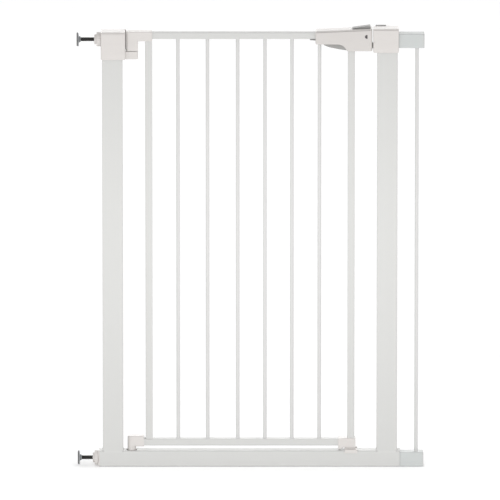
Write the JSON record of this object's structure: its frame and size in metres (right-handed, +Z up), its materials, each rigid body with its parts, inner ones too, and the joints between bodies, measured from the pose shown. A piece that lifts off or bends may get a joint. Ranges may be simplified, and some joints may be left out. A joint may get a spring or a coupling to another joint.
{
  "type": "safety baby gate",
  "caption": "Extra-tall pressure-fit baby gate with a lift-and-swing door, squeeze latch, thumb slider, wall spindles and a side extension.",
  "frame": {"origin": "middle of the whole gate's width and depth, at the underside of the base rail", "axes": "+X to the latch side, +Y to the rear, +Z up; the front, with the plain side of the handle, faces -Y"},
  "size_m": [0.846, 0.04, 1.1112],
  "materials": {
    "white_powder_coat": "white powder coat on steel tube",
    "grey_powder_coat": "light grey powder coat on steel tube",
    "grey_abs": "light grey moulded plastic",
    "white_abs": "warm white moulded plastic, fine texture",
    "grey_nylon": "mid grey moulded nylon",
    "black_plastic": "dark moulded plastic",
    "zinc_steel": "zinc-plated steel",
    "black_steel": "black-passivated threaded steel",
    "disc_steel": "zinc-plated pressed steel",
    "pad_rubber": "dark rubber"
  },
  "bodies": {
    "frame": {"base_rail": "white_powder_coat", "base_plug_left": "white_abs", "base_plug_right": "white_abs", "left_post": "white_powder_coat", "right_post": "white_powder_coat", "hinge_housing": "white_abs", "hinge_screw": "zinc_steel", "lower_hinge_cup": "grey_nylon", "door_keeper": "white_abs", "latch_housing": "white_abs", "latch_screw": "zinc_steel", "striker_plate": "zinc_steel", "ext_top_tube": "grey_powder_coat", "ext_bottom_tube": "grey_powder_coat", "ext_bar": "white_powder_coat", "ext_top_cap": "grey_abs", "ext_bottom_cap": "grey_abs", "ext_top_plug": "grey_abs", "ext_bottom_plug": "grey_abs", "ext_top_stud": "zinc_steel", "ext_bottom_stud": "zinc_steel"},
    "stop_slider": {"stop_slider": "grey_nylon"},
    "hinge_pins": {"upper_hinge_pin": "zinc_steel", "lower_hinge_pin": "zinc_steel"},
    "door": {"door_top_rail": "white_powder_coat", "door_bottom_rail": "white_powder_coat", "door_left_stile": "white_powder_coat", "door_right_stile": "white_powder_coat", "door_bar_1": "white_powder_coat", "door_bar_2": "white_powder_coat", "door_bar_3": "white_powder_coat", "door_bar_4": "white_powder_coat", "door_bar_5": "white_powder_coat", "door_bar_6": "white_powder_coat", "door_hinge_block": "white_abs", "lower_elbow": "white_abs", "corner_block": "white_abs", "handle_front": "white_abs", "handle_rear": "white_abs", "handle_screw_1": "zinc_steel", "handle_screw_2": "zinc_steel", "handle_screw_3": "zinc_steel", "lock_indicator": "black_plastic", "trigger_pin": "zinc_steel", "trigger_spring": "zinc_steel", "slider_spring": "zinc_steel"},
    "trigger": {"trigger": "grey_nylon", "cam_pin": "zinc_steel"},
    "latch_bolt": {"latch_bolt": "white_abs"},
    "thumb_slider": {"thumb_slider": "grey_nylon"},
    "upper_spindle": {"upper_spindle_rod": "black_steel", "upper_spindle_disc": "disc_steel", "upper_wall_pad": "pad_rubber"},
    "upper_nut": {"upper_nut": "white_abs"},
    "lower_spindle": {"lower_spindle_rod": "black_steel", "lower_spindle_disc": "disc_steel", "lower_wall_pad": "pad_rubber"},
    "lower_nut": {"lower_nut": "white_abs"}
  },
  "joints": [
    {"name": "door_swing", "type": "hinge", "parent": "frame", "child": "hinge_pins", "pos_m": [-0.2906, 0, 0.0475], "axis": [0, 0, 1], "range_deg": [-90, 90]},
    {"name": "door_lift", "type": "slide", "parent": "hinge_pins", "child": "door", "axis": [0, 0, 1], "range_m": [0, 0.005]},
    {"name": "trigger_squeeze", "type": "hinge", "parent": "door", "child": "trigger", "pos_m": [0.168, 0, 1.0724], "axis": [0, -1, 0], "range_deg": [0, 8], "stiffness_Nm_per_rad": 1.5, "springref_deg": -8.59},
    {"name": "bolt_retract", "type": "slide", "parent": "door", "child": "latch_bolt", "axis": [-1, 0, 0], "range_m": [0, 0.009]},
    {"name": "thumb_slide", "type": "slide", "parent": "door", "child": "thumb_slider", "axis": [-0.9991, 0, -0.0434], "range_m": [0, 0.009], "stiffness_N_per_m": 150, "springref_m": -0.01, "deforming": ["slider_spring"]},
    {"name": "stop_slide", "type": "slide", "parent": "frame", "child": "stop_slider", "axis": [-1, 0, 0], "range_m": [0, 0.008]},
    {"name": "upper_nut_turn", "type": "hinge", "parent": "frame", "child": "upper_nut", "pos_m": [-0.3697, 0, 1.076], "axis": [-1, 0, 0], "range_deg": [-6000, 1920]},
    {"name": "upper_spindle_slide", "type": "slide", "parent": "frame", "child": "upper_spindle", "axis": [-1, 0, 0], "range_m": [-0.025, 0.008]},
    {"name": "lower_nut_turn", "type": "hinge", "parent": "frame", "child": "lower_nut", "pos_m": [-0.3779, 0, 0.02], "axis": [-1, 0, 0], "range_deg": [-6000, 1920]},
    {"name": "lower_spindle_slide", "type": "slide", "parent": "frame", "child": "lower_spindle", "axis": [-1, 0, 0], "range_m": [-0.025, 0.008]}
  ],
  "couplings": [
    {"joint": "bolt_retract", "follows": "trigger_squeeze", "m_per_rad": 0.06445},
    {"joint": "upper_nut_turn", "follows": "upper_spindle_slide", "rad_per_m": 4188.8},
    {"joint": "lower_nut_turn", "follows": "lower_spindle_slide", "rad_per_m": 4188.8}
  ]
}
